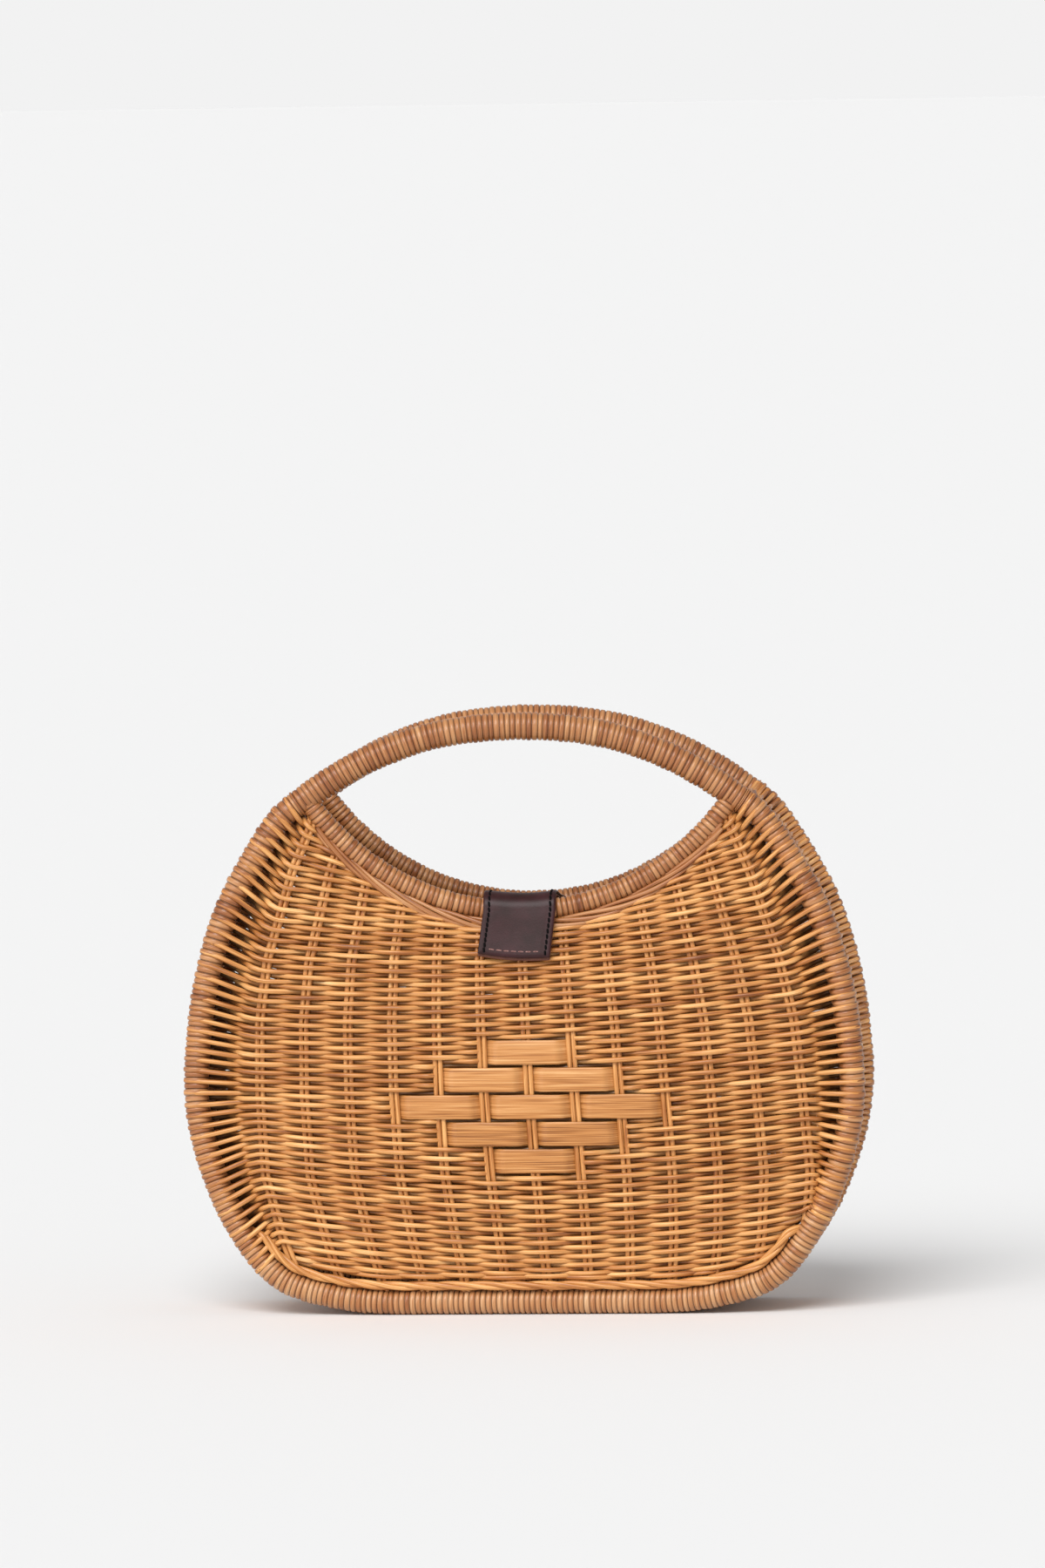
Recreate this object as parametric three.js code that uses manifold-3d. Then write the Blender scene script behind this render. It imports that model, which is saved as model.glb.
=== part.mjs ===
// Half-moon wicker handbag with two hoops, a woven body and a leather closing strap.
// Millimetres, +Z up, front facing -Y. The origin is on the ground under the middle of the bag.

import * as THREE from 'three';
import * as BufferGeometryUtils from 'three/addons/utils/BufferGeometryUtils.js';
import Module from 'manifold-3d';

const wasm = await Module();
wasm.setup();

// Driving dimensions of the two hoops
const hoopHalfWidth = 143.5; // widest half width of a hoop's centre line
const hoopRise = 252.7; // from the bottom run's centre line to the handle's
const hoopRadius = 5.6; // wrapped cane of the sides and the bottom run
const handleRadius = 6.2; // wrapped cane of the handle
const hoopSpacing = 62; // between the centre lines of the two hoops
const handleLapRows = 0.25; // rows of the hoop's table that the handle reaches past the shoulder
const bandTopRows = 0.4; // rows from the shoulder down to the top of a side band
const tubeSides = 10;

// Driving dimensions of the mouth
const mouthRodRadius = 4.6;
const mouthDrop = 50.5; // the mouth rod's sag below the shoulders

// Driving dimensions of the woven walls
const panelWall = 4; // a weaver, a stake and a weaver, pressed together
const panelCrown = 11; // how far a panel bulges out of its hoop
const sideWall = 4;
const waleRadius = 1.9;
const slotCount = 24; // open slots along each side of a panel
const slotLength = 14;
const slotHeight = 2.2;
const slotInset = 16; // from the hoop's centre line to a slot's middle
const slotTopRows = 1.44; // rows of the hoop's table from the shoulder down to the first slot
const slotFootRows = 0.58; // rows from the last slot down to the corner

// Driving dimensions of the flat ornament strips
const stakePitch = 19.9;
const stakeWidth = 4.6;
const stripHeight = 10.8;
const stripPitch = 11.9;
const stripThickness = 1;
const ornamentHeight = 92; // middle of the diamond above the ground
const ornamentShift = 3.8; // middle of the diamond beside the bag's middle

// Driving dimensions of the leather strap
const strapWidth = 31.6;
const leather = 1.35; // one layer
const seam = 0.3; // between the two layers
const flapLength = 27; // from the rod's top down the front
const tailLength = 24; // down the inner face of the back panel
const tailDrop = 3; // from the back rod's underside down to the tail's top
const tailLean = 3; // how far the tail's top stands off the panel
const flapSkew = 7; // degrees that the flap hangs askew
const flapEndSlope = 5; // degrees that its end is cut askew
const snapRadius = 6;
const snapThickness = 1;
const snapDrop = 11.3; // from the mouth rod's lowest point down to the snap's middle

// Clearance between pieces that touch
const gap = 0.3;

// Half of a hoop's centre line from the handle's crown down to the bottom run, as shares of
// hoopHalfWidth and hoopRise. Other pieces begin and end at the rows named shoulder and corner.
const hoopRows = [
  { out: 0.251, up: 0.986 },
  { out: 0.432, up: 0.952 },
  { out: 0.551, up: 0.917 },
  { name: 'shoulder', out: 0.653, up: 0.879 },
  { out: 0.728, up: 0.846 },
  { out: 0.826, up: 0.764 },
  { out: 0.906, up: 0.677 },
  { out: 0.967, up: 0.561 },
  { out: 0.996, up: 0.446 },
  { out: 1, up: 0.343 },
  { out: 0.962, up: 0.241 },
  { name: 'corner', out: 0.873, up: 0.125 },
  { out: 0.753, up: 0.043 },
  { out: 0.599, up: 0.012 },
  { out: 0.418, up: 0 },
];

// Slack stretch of the strap between the rods: share of the way from the back rod to over the
// front one, and height over the rods' middles as a share of the strap's turn round the rod
const slackRows = [
  { across: 0.02, rise: -0.56 },
  { across: 0.16, rise: 0 },
  { across: 0.58, rise: 0.5 },
  { across: 0.94, rise: 0.98 },
];

// Diamond of flat strips, from the top row down: how many stake gaps each strip crosses
const stripRows = [
  { row: 2, gaps: 2 },
  { row: 1, gaps: 4 },
  { row: 0, gaps: 6 },
  { row: -1, gaps: 4 },
  { row: -2, gaps: 2 },
];

// Values that follow from the driving dimensions
const hoopY = hoopSpacing / 2;
const hoopFloor = hoopRadius * Math.cos(Math.PI / tubeSides); // a facet of the bottom run lies on the ground
const halfRing = hoopRows.length + 1;
const ringCount = 2 * halfRing;
const shoulderShare = ringShare('shoulder');
const cornerShare = ringShare('corner');
const shoulderRow = hoopRows[rowNumber('shoulder')];
const shoulderX = shoulderRow.out * hoopHalfWidth;
const shoulderZ = hoopFloor + shoulderRow.up * hoopRise;
const mouthRadius = (shoulderX ** 2 + mouthDrop ** 2) / (2 * mouthDrop);
const mouthLow = shoulderZ - mouthDrop;
const ring = new RingLine();

function rowNumber(name) {
  return hoopRows.findIndex((row) => row.name === name);
}

// Share of the closed ring at which a named row of the table lies on the right. The mirrored
// place on the left is at one less that share.
function ringShare(name) {
  return (rowNumber(name) + 1) / ringCount;
}

// Closed centre line of a hoop in the plane y = 0, clockwise from the crown as seen from the front.
// Its bottom run is held flat.
function RingLine() {
  const half = hoopRows.map((row) => [row.out * hoopHalfWidth, hoopFloor + row.up * hoopRise]);
  const crown = [0, hoopFloor + hoopRise];
  const foot = [0, hoopFloor];
  const mirrored = half.map(([x, z]) => [-x, z]).reverse();
  const points = [crown, ...half, foot, ...mirrored].map(([x, z]) => new THREE.Vector3(x, 0, z));
  const curve = new THREE.CatmullRomCurve3(points, true, 'centripetal');
  this.length = curve.getLength();
  this.at = (share) => {
    const point = curve.getPoint(((share % 1) + 1) % 1);
    point.z = Math.max(point.z, hoopFloor);
    return point;
  };
}

// Open stretch of a hoop's centre line between two ring shares, moved towards the inside by an inset
function ringStretch(from, to, inset, depthAt, count = 60) {
  const points = [];
  for (let i = 0; i <= count; i += 1) {
    const share = from + ((to - from) * i) / count;
    const point = insideRing(share, inset);
    point.y = depthAt(point.x, point.z);
    points.push(point);
  }
  return new THREE.CatmullRomCurve3(points);
}

// Direction from the hoop's centre line towards its inside
function inward(share) {
  const step = 0.002;
  const tangent = ring.at(share + step).sub(ring.at(share - step)).normalize();
  return new THREE.Vector3(tangent.z, 0, -tangent.x);
}

function insideRing(share, inset) {
  return ring.at(share).addScaledVector(inward(share), inset);
}

// Half width of the hoop at a height, and the heights of the hoop's lower edge and of the
// mouth at a distance beside the middle, all on the centre lines
const ringSamples = Array.from({ length: 241 }, (_, i) => ring.at(i / 480));
const widest = ringSamples.reduce((best, p, i) => (p.x > ringSamples[best].x ? i : best), 0);

function halfWidthAt(z) {
  const below = ringSamples.findIndex((p, i) => i > 0 && p.z <= z);
  if (below < 1) {
    return below === 0 ? 0 : ringSamples[ringSamples.length - 1].x;
  }
  return mixAt(ringSamples[below - 1], ringSamples[below], 'z', z, 'x');
}

function lowerEdgeAt(x) {
  const lower = ringSamples.slice(widest);
  const next = lower.findIndex((p) => p.x <= Math.abs(x));
  return next < 1 ? lower[0].z : mixAt(lower[next - 1], lower[next], 'x', Math.abs(x), 'z');
}

function upperEdgeAt(x) {
  if (Math.abs(x) <= shoulderX) {
    return mouthLineAt(x);
  }
  const upper = ringSamples.slice(0, widest + 1);
  const next = upper.findIndex((p) => p.x >= Math.abs(x));
  return next < 1 ? upper[upper.length - 1].z : mixAt(upper[next - 1], upper[next], 'x', Math.abs(x), 'z');
}

function mixAt(a, b, key, value, wanted) {
  const span = b[key] - a[key];
  const share = Math.abs(span) < 1e-9 ? 0 : (value - a[key]) / span;
  return a[wanted] + (b[wanted] - a[wanted]) * share;
}

// Height of the mouth rod's centre line, an arc through both shoulders
function mouthLineAt(x) {
  return mouthLow + mouthRadius - Math.sqrt(mouthRadius ** 2 - x ** 2);
}

// How far the middle of a panel's wall stands out of its hoop's plane
function crownAt(x, z) {
  const across = x / Math.max(halfWidthAt(z), 1);
  const low = lowerEdgeAt(x);
  const high = upperEdgeAt(x);
  const up = high - low > 1 ? (2 * (z - low)) / (high - low) - 1 : 1;
  const roundness = 0.8;
  const acrossFall = Math.max(0, 1 - across ** 2) ** roundness;
  const upFall = Math.max(0, 1 - up ** 2) ** roundness;
  return panelCrown * acrossFall * upFall;
}

function panelY(side, x, z) {
  return side * (hoopY + crownAt(x, z));
}

// A tube of round section along a curve. With 10 sides a facet of the section faces down, so a
// hoop's bottom run has a flat underside.
function tube(curve, radius, steps, sides = tubeSides) {
  const section = new THREE.Shape();
  for (let i = 0; i < sides; i += 1) {
    const angle = (2 * Math.PI * i) / sides;
    const x = radius * Math.cos(angle);
    const y = radius * Math.sin(angle);
    if (i === 0) {
      section.moveTo(x, y);
    } else {
      section.lineTo(x, y);
    }
  }
  section.closePath();
  return new THREE.ExtrudeGeometry(section, { steps, bevelEnabled: false, extrudePath: curve });
}

// Closed solid of a geometry, for cutting and joining
function solid(geometry) {
  const bare = geometry.index ? geometry.toNonIndexed() : geometry.clone();
  bare.deleteAttribute('normal');
  bare.deleteAttribute('uv');
  const merged = BufferGeometryUtils.mergeVertices(bare, 1e-4);
  return new wasm.Manifold(new wasm.Mesh({
    numProp: 3,
    vertProperties: Float32Array.from(merged.attributes.position.array),
    triVerts: Uint32Array.from(merged.index.array),
  }));
}

function geometryOf(body) {
  const mesh = body.getMesh();
  const geometry = new THREE.BufferGeometry();
  geometry.setAttribute('position', new THREE.BufferAttribute(Float32Array.from(mesh.vertProperties), 3));
  geometry.setIndex(new THREE.BufferAttribute(Uint32Array.from(mesh.triVerts), 1));
  return geometry;
}

// A box whose grid of faces is bent into a wall: place gives the point for a share across,
// a share up and a face, which is -1 at the front and +1 at the back
function bentWall(stepsAcross, stepsUp, place) {
  const geometry = new THREE.BoxGeometry(1, 1, 1, stepsAcross, 1, stepsUp);
  const position = geometry.attributes.position;
  const point = new THREE.Vector3();
  for (let i = 0; i < position.count; i += 1) {
    point.fromBufferAttribute(position, i);
    const moved = place(point.x + 0.5, point.z + 0.5, Math.sign(point.y));
    position.setXYZ(i, moved.x, moved.y, moved.z);
  }
  return geometry;
}

// Materials
const wrappedCane = { color: 0xb87a4c, roughness: 0.5, metalness: 0 };
const wovenReed = { color: 0xc08652, roughness: 0.55, metalness: 0 };
const flatCane = { color: 0xcf935b, roughness: 0.45, metalness: 0 };
const darkLeather = { color: 0x4a3034, roughness: 0.4, metalness: 0 };
const rawLeather = { color: 0x5e3a30, roughness: 0.7, metalness: 0 };
const platedSteel = { color: 0x8a857c, roughness: 0.35, metalness: 1 };

const bag = new THREE.Group();

function addPiece(name, geometry, finish) {
  const mesh = new THREE.Mesh(geometry, new THREE.MeshStandardMaterial(finish));
  mesh.name = name;
  bag.add(mesh);
}

// A hoop is a thicker handle joined to a ring of cane. Grown by a clearance it cuts its neighbours.
function hoopBody(side, grown) {
  const handleSteps = 18;
  const bodySteps = 34;
  const depthAt = () => side * hoopY;
  const handleEnd = shoulderShare + handleLapRows / ringCount;
  const handle = ringStretch(-handleEnd, handleEnd, 0, depthAt);
  const body = ringStretch(shoulderShare, 1 - shoulderShare, 0, depthAt, 120);
  return solid(tube(handle, handleRadius + grown, handleSteps))
    .add(solid(tube(body, hoopRadius + grown, bodySteps)));
}

function mouthLine(side) {
  const points = [];
  const count = 40;
  for (let i = 0; i <= count; i += 1) {
    const x = shoulderX * ((2 * i) / count - 1);
    points.push(new THREE.Vector3(x, side * hoopY, mouthLineAt(x)));
  }
  return new THREE.CatmullRomCurve3(points);
}

function mouthRodBody(side, grown) {
  const steps = 20;
  const sides = 8;
  return solid(tube(mouthLine(side), mouthRodRadius + grown, steps, sides));
}

// Patch between the hoop's centre line and the mouth rod's: the point at a share across and up
function patchPoint(across, up) {
  const bottomAt = (s) => ring.at(1 - cornerShare + (2 * cornerShare - 1) * s);
  const rightAt = (s) => ring.at(cornerShare + (shoulderShare - cornerShare) * s);
  const topAt = (s) => {
    const x = shoulderX * (2 * s - 1);
    return new THREE.Vector3(x, 0, mouthLineAt(x));
  };
  const mirror = (p) => new THREE.Vector3(-p.x, p.y, p.z);
  const point = new THREE.Vector3()
    .addScaledVector(bottomAt(across), 1 - up)
    .addScaledVector(topAt(across), up)
    .addScaledVector(mirror(rightAt(up)), 1 - across)
    .addScaledVector(rightAt(up), across);
  point.addScaledVector(bottomAt(0), -(1 - across) * (1 - up));
  point.addScaledVector(bottomAt(1), -across * (1 - up));
  point.addScaledVector(topAt(0), -(1 - across) * up);
  point.addScaledVector(topAt(1), -across * up);
  return point;
}

// Open slots between the last stake and the hoop, each square to the hoop
function slotCutters(side) {
  const cutters = [];
  const first = shoulderShare + slotTopRows / ringCount;
  const last = cornerShare - slotFootRows / ringCount;
  const deep = 2 * (panelCrown + panelWall);
  for (const flank of [-1, 1]) {
    for (let i = 0; i < slotCount; i += 1) {
      const share = first + ((last - first) * i) / (slotCount - 1);
      const middle = insideRing(share, slotInset);
      const direction = inward(share);
      const outline = new THREE.Shape([
        new THREE.Vector2(-slotLength / 2, 0),
        new THREE.Vector2(0, -slotHeight / 2),
        new THREE.Vector2(slotLength / 2, 0),
        new THREE.Vector2(0, slotHeight / 2),
      ]);
      const prism = new THREE.ExtrudeGeometry(outline, { depth: deep, bevelEnabled: false });
      prism.translate(0, 0, -deep / 2);
      prism.rotateX(Math.PI / 2);
      prism.rotateY(Math.atan2(-direction.z, direction.x));
      prism.translate(middle.x, side * hoopY, middle.z);
      if (flank < 0) {
        prism.rotateZ(Math.PI);
        prism.translate(0, 2 * side * hoopY, 0);
      }
      cutters.push(prism);
    }
  }
  return solid(BufferGeometryUtils.mergeGeometries(cutters));
}

function addHoopsAndRods() {
  for (const [name, side] of [['front', -1], ['back', 1]]) {
    addPiece(`${name}_hoop`, geometryOf(hoopBody(side, 0)), wrappedCane);
    const rod = mouthRodBody(side, 0).subtract(hoopBody(side, gap));
    addPiece(`${name}_mouth_rod`, geometryOf(rod), wrappedCane);
  }
}

function addPanels() {
  const stepsAcross = 14;
  const stepsUp = 9;
  for (const [name, side] of [['front', -1], ['back', 1]]) {
    const wall = bentWall(stepsAcross, stepsUp, (across, up, face) => {
      const point = patchPoint(across, up);
      point.y = panelY(side, point.x, point.z) + (face * panelWall) / 2;
      return point;
    });
    const panel = solid(wall)
      .subtract(hoopBody(side, gap))
      .subtract(mouthRodBody(side, gap))
      .subtract(slotCutters(side));
    addPiece(`${name}_panel`, geometryOf(panel), wovenReed);
  }
}

// Border strands in front of each panel's lower edge, up to where the side weavers begin
function addWales() {
  const inset = hoopRadius + waleRadius + gap;
  const steps = 34;
  const sides = 6;
  for (const [name, side] of [['front', -1], ['back', 1]]) {
    const depthAt = (x, z) => panelY(side, x, z) + side * (panelWall / 2 + waleRadius + gap);
    const line = ringStretch(cornerShare, 1 - cornerShare, inset, depthAt);
    const wale = solid(tube(line, waleRadius, steps, sides)).subtract(hoopBody(side, gap));
    addPiece(`${name}_wale`, geometryOf(wale), wovenReed);
  }
}

// Woven band between the hoops along a stretch of the ring
function bandGeometry(from, to, steps) {
  const outer = [];
  const inner = [];
  for (let i = 0; i <= steps; i += 1) {
    const share = from + ((to - from) * i) / steps;
    const out = insideRing(share, -sideWall / 2);
    const inn = insideRing(share, sideWall / 2);
    outer.push(new THREE.Vector2(out.x, out.z));
    inner.push(new THREE.Vector2(inn.x, inn.z));
  }
  const outline = new THREE.Shape([...outer, ...inner.reverse()]);
  const width = hoopSpacing - 2 * (hoopRadius + gap);
  const band = new THREE.ExtrudeGeometry(outline, { depth: width, bevelEnabled: false });
  band.translate(0, 0, -width / 2);
  band.rotateX(Math.PI / 2);
  return band;
}

function addBands() {
  const sideSteps = 18;
  const baseSteps = 20;
  const top = shoulderShare + bandTopRows / ringCount;
  const split = gap / 2 / ring.length;
  const foot = cornerShare - split;
  const baseEnd = cornerShare + split;
  addPiece('right_side', bandGeometry(top, foot, sideSteps), wovenReed);
  addPiece('left_side', bandGeometry(1 - foot, 1 - top, sideSteps), wovenReed);
  addPiece('base', bandGeometry(baseEnd, 1 - baseEnd, baseSteps), wovenReed);
}

// Flat cane strips that lie on the front panel as a diamond
function addStrips() {
  stripRows.forEach(({ row, gaps }, index) => {
    const length = gaps * stakePitch + stakeWidth;
    const middleZ = ornamentHeight + row * stripPitch;
    const strip = bentWall(gaps * 2, 2, (across, up, face) => {
      const x = ornamentShift + length * (across - 0.5);
      const z = middleZ + stripHeight * (up - 0.5);
      const y = panelY(-1, x, z) - panelWall / 2 - 2 * gap - stripThickness / 2;
      return new THREE.Vector3(x, y + (face * stripThickness) / 2, z);
    });
    addPiece(`flat_strip_${index + 1}`, strip, flatCane);
  });
}

// Middle line of the strap in the plane x = 0, from its tail on the back panel's inner face,
// across the mouth, over the front rod and down the front panel
function strapLine() {
  const half = leather + seam / 2;
  const rodTurn = mouthRodRadius + gap + half;
  const tailTop = mouthLow - mouthRodRadius - tailDrop;
  const tailY = (z) => panelY(1, 0, z) - panelWall / 2 - 3 * gap - half;
  const flapY = (z) => panelY(-1, 0, z) - panelWall / 2 - 2 * gap - snapThickness - half;
  const flapEnd = mouthLow + rodTurn - flapLength;
  const flapMiddle = (mouthLow + flapEnd) / 2;
  const backFace = hoopY - rodTurn;
  const points = [
    [tailY(tailTop - tailLength), tailTop - tailLength],
    [tailY(tailTop - tailLength / 2), tailTop - tailLength / 2],
    [tailY(tailTop) - tailLean, tailTop],
    ...slackRows.map(({ across, rise }) => [
      backFace - across * (backFace + hoopY),
      mouthLow + rise * rodTurn,
    ]),
  ];
  for (const degrees of [90, 120, 150, 180]) {
    const angle = THREE.MathUtils.degToRad(degrees);
    points.push([-hoopY + rodTurn * Math.cos(angle), mouthLow + rodTurn * Math.sin(angle)]);
  }
  points.push([Math.min(flapY(flapMiddle), -hoopY - rodTurn), flapMiddle]);
  points.push([flapY(flapEnd), flapEnd]);
  const route = points.map(([y, z]) => new THREE.Vector3(0, y, z));
  return new THREE.CatmullRomCurve3(route, false, 'centripetal');
}

// One leather layer between two offsets from the strap's middle line
function layerGeometry(line, from, to) {
  const bends = 26;
  const near = [];
  const far = [];
  for (let i = 0; i <= bends; i += 1) {
    const point = line.getPointAt(i / bends);
    const tangent = line.getTangentAt(i / bends);
    const normal = new THREE.Vector2(tangent.z, -tangent.y);
    near.push(new THREE.Vector2(point.y + normal.x * from, point.z + normal.y * from));
    far.push(new THREE.Vector2(point.y + normal.x * to, point.z + normal.y * to));
  }
  const outline = new THREE.Shape([...near, ...far.reverse()]);
  const steps = 3;
  const layer = new THREE.ExtrudeGeometry(outline, { steps, depth: strapWidth, bevelEnabled: false });
  layer.translate(0, 0, -strapWidth / 2);
  layer.rotateX(Math.PI / 2);
  layer.rotateZ(Math.PI / 2);
  return settleStrap(layer);
}

// Across its width the strap follows the mouth rod's sag. The flap in front of the rod hangs a
// little askew, and its end is cut askew.
function settleStrap(geometry) {
  const position = geometry.attributes.position;
  const lean = Math.tan(THREE.MathUtils.degToRad(flapSkew));
  const slope = Math.tan(THREE.MathUtils.degToRad(flapEndSlope));
  for (let i = 0; i < position.count; i += 1) {
    const x = position.getX(i);
    const z = position.getZ(i);
    const hang = position.getY(i) < -hoopY ? Math.max(0, mouthLow - z) : 0;
    const sag = mouthLineAt(x) - mouthLow;
    position.setX(i, x - lean * hang);
    position.setZ(i, z + sag - (slope * x * hang) / flapLength);
  }
  return geometry;
}

function addStrap() {
  const line = strapLine();
  const half = leather + seam / 2;
  addPiece('strap_outer', layerGeometry(line, seam / 2, half), darkLeather);
  addPiece('strap_backing', layerGeometry(line, -half, -seam / 2), rawLeather);
}

function addSnap() {
  const z = mouthLow - snapDrop;
  const rise = 2;
  const face = (height) => panelY(-1, 0, height) - panelWall / 2;
  const tilt = Math.atan2(face(z + rise) - face(z - rise), 2 * rise);
  const disc = new THREE.CylinderGeometry(snapRadius, snapRadius, snapThickness, 16);
  disc.rotateX(-tilt);
  disc.translate(0, face(z) - gap - snapThickness / 2, z);
  addPiece('snap', disc, platedSteel);
}

addHoopsAndRods();
addPanels();
addWales();
addBands();
addStrips();
addStrap();
addSnap();

export default bag;
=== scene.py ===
"""Half-moon wicker handbag: its looks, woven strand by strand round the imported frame.

Laid out as an add-on. Property groups hold the sizes and colours, one operator makes each piece or
group of like pieces, and main() calls them in order. Distances are metres, +Z is up and the front
faces -Y.
"""

import math

import bpy
import numpy as np
from mathutils import Matrix, Vector


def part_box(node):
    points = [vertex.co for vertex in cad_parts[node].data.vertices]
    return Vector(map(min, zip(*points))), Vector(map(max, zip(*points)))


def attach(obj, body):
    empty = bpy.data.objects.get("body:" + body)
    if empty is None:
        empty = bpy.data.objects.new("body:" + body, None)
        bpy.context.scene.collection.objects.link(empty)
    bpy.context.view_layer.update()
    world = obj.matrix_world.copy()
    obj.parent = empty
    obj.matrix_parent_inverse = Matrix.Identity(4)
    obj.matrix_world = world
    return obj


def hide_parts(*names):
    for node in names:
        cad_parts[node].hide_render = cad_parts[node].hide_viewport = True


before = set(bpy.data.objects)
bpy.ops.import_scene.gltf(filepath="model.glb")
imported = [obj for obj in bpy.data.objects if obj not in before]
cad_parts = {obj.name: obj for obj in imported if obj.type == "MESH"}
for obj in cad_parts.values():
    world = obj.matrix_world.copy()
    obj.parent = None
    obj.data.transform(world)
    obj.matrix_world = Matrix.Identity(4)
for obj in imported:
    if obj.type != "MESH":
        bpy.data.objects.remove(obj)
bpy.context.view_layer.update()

bl_info = {
    "name": "Half-moon wicker handbag",
    "version": (1, 0, 0),
    "blender": (4, 5, 0),
    "location": "View3D > Sidebar > Wicker bag",
    "description": "Weaves a wicker handbag round its construction solids",
    "category": "Object",
}

MM = 0.001
BODY = "root"
NO_CORNER = -1
REED_VARIES = 0.05  # share by which the reeds' radii vary
TURN_VARIES = 0.06  # share of a turn by which the edges of the wraps vary
PAIR_APART = 1.06  # from a pair's middle to each of its stakes, in stake radii
TURN_AT = np.array([-1, -0.84, -0.45, 0.45, 0.84])  # points across one turn of a wrap
# Painted shade across one turn of a wrap: darkest in the groove between two turns, where the colour is mixed
# towards the finish's painted shade colour
TURN_SHADE = np.array([0.1, 0.72, 1, 1, 0.72])
TUCK = np.array([0.5, 1.4, 2.4, 3.2]) * MM  # how far a weaver's last points are pushed in
# Painted shade: a weaver's colour darkens the deeper it lies behind its panel's middle, to near black
# deepest; SHADES are the shades at SHADE_DEPTHS
SHADE_DEPTHS = np.array([-4, -2, -0.4, 0.7]) * MM  # in front of a panel's middle
SHADES = (0.12, 0.5, 0.85, 1)


# Sizes that come from the frame

def span(node, axis):
    """Lowest and highest place of a construction solid along one axis"""
    low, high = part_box(node)
    return low[axis], high[axis]


HOOP_Y = -sum(span("front_hoop", 1)) / 2
HANDLE_RADIUS = (span("front_hoop", 1)[1] - span("front_hoop", 1)[0]) / 2
HOOP_RADIUS = 5.6 * MM
HALF_WIDTH = span("front_hoop", 0)[1] - HOOP_RADIUS
RUN_Z = HOOP_RADIUS
RISE = span("front_hoop", 2)[1] - HANDLE_RADIUS - RUN_Z
ROD_RADIUS = (span("front_mouth_rod", 1)[1] - span("front_mouth_rod", 1)[0]) / 2
MOUTH_LOW = span("front_mouth_rod", 2)[0] + ROD_RADIUS
PANEL_WALL = 4 * MM
CROWN = -span("front_panel", 1)[0] - HOOP_Y - PANEL_WALL / 2
ORNAMENT_Z = sum(span("flat_strip_3", 2)) / 2
STRIP_HEIGHT = span("flat_strip_3", 2)[1] - span("flat_strip_3", 2)[0]
STRIP_PITCH = sum(span("flat_strip_2", 2)) / 2 - ORNAMENT_Z
WALE_RADIUS = 1.9 * MM

# Half of a hoop's centre line from the handle's crown down to the bottom run, as shares of its
# half width and rise
HOOP_ROWS = (
    {"out": 0.251, "up": 0.986},
    {"out": 0.432, "up": 0.952},
    {"out": 0.551, "up": 0.917},
    {"out": 0.653, "up": 0.879},
    {"out": 0.728, "up": 0.846},
    {"out": 0.826, "up": 0.764},
    {"out": 0.906, "up": 0.677},
    {"out": 0.967, "up": 0.561},
    {"out": 0.996, "up": 0.446},
    {"out": 1.0, "up": 0.343},
    {"out": 0.962, "up": 0.241},
    {"out": 0.873, "up": 0.125},
    {"out": 0.753, "up": 0.043},
    {"out": 0.599, "up": 0.012},
    {"out": 0.418, "up": 0.0},
)
SHOULDER_ROW = 3
CORNER_ROW = 11

# Where the stakes stand: half the width of their fan and its middle, in mm, at heights in mm
STAKE_FAN = (
    {"height": 0, "half": 106, "middle": 10.5},
    {"height": 17, "half": 110, "middle": 9.4},
    {"height": 35, "half": 115, "middle": 8},
    {"height": 62, "half": 119.5, "middle": 5.7},
    {"height": 98, "half": 118.9, "middle": 3.4},
    {"height": 129, "half": 117.1, "middle": 2.0},
    {"height": 156, "half": 112.2, "middle": 0.7},
    {"height": 170, "half": 107.8, "middle": 0.5},
    {"height": 195, "half": 100, "middle": 0},
    {"height": 216, "half": 91, "middle": 0},
)
STAKES = 13

# How the weavers run at heights in mm: how far their middle sags and their right end rises, in mm
ROW_RUN = (
    {"height": 0, "sag": 9, "rise": 0},
    {"height": 49, "sag": 9, "rise": 0},
    {"height": 72, "sag": 7, "rise": 1},
    {"height": 95, "sag": 5, "rise": 3},
    {"height": 118, "sag": 4, "rise": 4},
    {"height": 141, "sag": 5, "rise": 5},
    {"height": 175, "sag": 9, "rise": 4},
    {"height": 214, "sag": 15, "rise": 2},
)
ROW_LEVELS = (15, 220)  # mm, from the lowest weaver to the highest
ROWS = 102

# Diamond of flat strips, from the top row down: how many stake gaps each strip crosses
STRIP_ROWS = (
    {"row": 2, "gaps": 2},
    {"row": 1, "gaps": 4},
    {"row": 0, "gaps": 6},
    {"row": -1, "gaps": 4},
    {"row": -2, "gaps": 2},
)


def column(table, name):
    return np.array([row[name] for row in table], float)


def smooth(u):
    """From 0 to 1 as u does, with a level start and end"""
    return u**2 * (3 - 2 * u)


def unit(vectors):
    """Vectors at a length of 1"""
    return vectors / np.maximum(np.linalg.norm(vectors, axis=-1, keepdims=True), 1e-12)


# Lines and surfaces that the strands follow

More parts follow.
